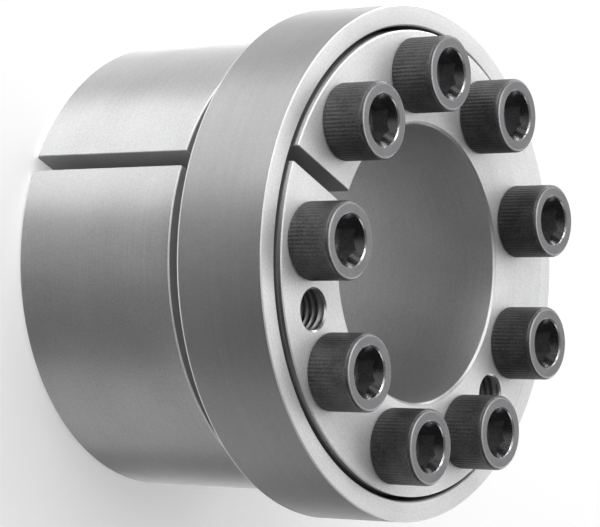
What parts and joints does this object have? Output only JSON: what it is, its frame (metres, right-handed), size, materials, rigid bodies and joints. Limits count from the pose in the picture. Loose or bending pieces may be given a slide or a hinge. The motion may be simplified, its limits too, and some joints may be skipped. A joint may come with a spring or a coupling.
{
  "type": "shaft locking assembly",
  "caption": "Keyless cone clamping unit: slit inner and outer taper rings drawn together by socket-head screws grip a shaft and a hub.",
  "frame": {"origin": "on the axis, in the plane of the rear faces of both clamping rings", "axes": "+Z along the axis towards the screw heads, +X through the slits of both clamping rings"},
  "size_m": [0.089, 0.089, 0.0648],
  "materials": {
    "inner_ring_steel": "fine turned steel",
    "outer_ring_steel": "fine turned steel",
    "spacer_steel": "fine turned steel",
    "screw_steel": "black oxide"
  },
  "bodies": {
    "body": {"inner_ring": "inner_ring_steel", "spacer_ring": "spacer_steel"},
    "outer_ring": {"outer_ring": "outer_ring_steel"},
    "clamping_screw_1": {"clamping_screw_1": "screw_steel"},
    "clamping_screw_2": {"clamping_screw_2": "screw_steel"},
    "clamping_screw_3": {"clamping_screw_3": "screw_steel"},
    "clamping_screw_4": {"clamping_screw_4": "screw_steel"},
    "clamping_screw_5": {"clamping_screw_5": "screw_steel"},
    "clamping_screw_6": {"clamping_screw_6": "screw_steel"},
    "clamping_screw_7": {"clamping_screw_7": "screw_steel"},
    "clamping_screw_8": {"clamping_screw_8": "screw_steel"},
    "clamping_screw_9": {"clamping_screw_9": "screw_steel"}
  },
  "joints": [
    {"name": "outer_ring_draw", "type": "slide", "parent": "body", "child": "outer_ring", "axis": [0, 0, 1], "range_m": [0, 0.002]},
    {"name": "clamping_screw_1_turn", "type": "hinge", "parent": "body", "child": "clamping_screw_1", "pos_m": [0.0303, 0.01103, 0.0568], "axis": [0, 0, 1], "range_deg": [-576, 0]},
    {"name": "clamping_screw_2_turn", "type": "hinge", "parent": "body", "child": "clamping_screw_2", "pos_m": [0.01613, 0.02793, 0.0568], "axis": [0, 0, 1], "range_deg": [-576, 0]},
    {"name": "clamping_screw_3_turn", "type": "hinge", "parent": "body", "child": "clamping_screw_3", "pos_m": [-0.0056, 0.03176, 0.0568], "axis": [0, 0, 1], "range_deg": [-576, 0]},
    {"name": "clamping_screw_4_turn", "type": "hinge", "parent": "body", "child": "clamping_screw_4", "pos_m": [-0.02471, 0.02073, 0.0568], "axis": [0, 0, 1], "range_deg": [-576, 0]},
    {"name": "clamping_screw_5_turn", "type": "hinge", "parent": "body", "child": "clamping_screw_5", "pos_m": [-0.03225, 0, 0.0568], "axis": [0, 0, 1], "range_deg": [-576, 0]},
    {"name": "clamping_screw_6_turn", "type": "hinge", "parent": "body", "child": "clamping_screw_6", "pos_m": [-0.02471, -0.02073, 0.0568], "axis": [0, 0, 1], "range_deg": [-576, 0]},
    {"name": "clamping_screw_7_turn", "type": "hinge", "parent": "body", "child": "clamping_screw_7", "pos_m": [-0.0056, -0.03176, 0.0568], "axis": [0, 0, 1], "range_deg": [-576, 0]},
    {"name": "clamping_screw_8_turn", "type": "hinge", "parent": "body", "child": "clamping_screw_8", "pos_m": [0.01613, -0.02793, 0.0568], "axis": [0, 0, 1], "range_deg": [-576, 0]},
    {"name": "clamping_screw_9_turn", "type": "hinge", "parent": "body", "child": "clamping_screw_9", "pos_m": [0.0303, -0.01103, 0.0568], "axis": [0, 0, 1], "range_deg": [-576, 0]}
  ],
  "couplings": [
    {"joint": "clamping_screw_1_turn", "follows": "outer_ring_draw", "rad_per_m": -5026.5},
    {"joint": "clamping_screw_2_turn", "follows": "outer_ring_draw", "rad_per_m": -5026.5},
    {"joint": "clamping_screw_3_turn", "follows": "outer_ring_draw", "rad_per_m": -5026.5},
    {"joint": "clamping_screw_4_turn", "follows": "outer_ring_draw", "rad_per_m": -5026.5},
    {"joint": "clamping_screw_5_turn", "follows": "outer_ring_draw", "rad_per_m": -5026.5},
    {"joint": "clamping_screw_6_turn", "follows": "outer_ring_draw", "rad_per_m": -5026.5},
    {"joint": "clamping_screw_7_turn", "follows": "outer_ring_draw", "rad_per_m": -5026.5},
    {"joint": "clamping_screw_8_turn", "follows": "outer_ring_draw", "rad_per_m": -5026.5},
    {"joint": "clamping_screw_9_turn", "follows": "outer_ring_draw", "rad_per_m": -5026.5}
  ]
}
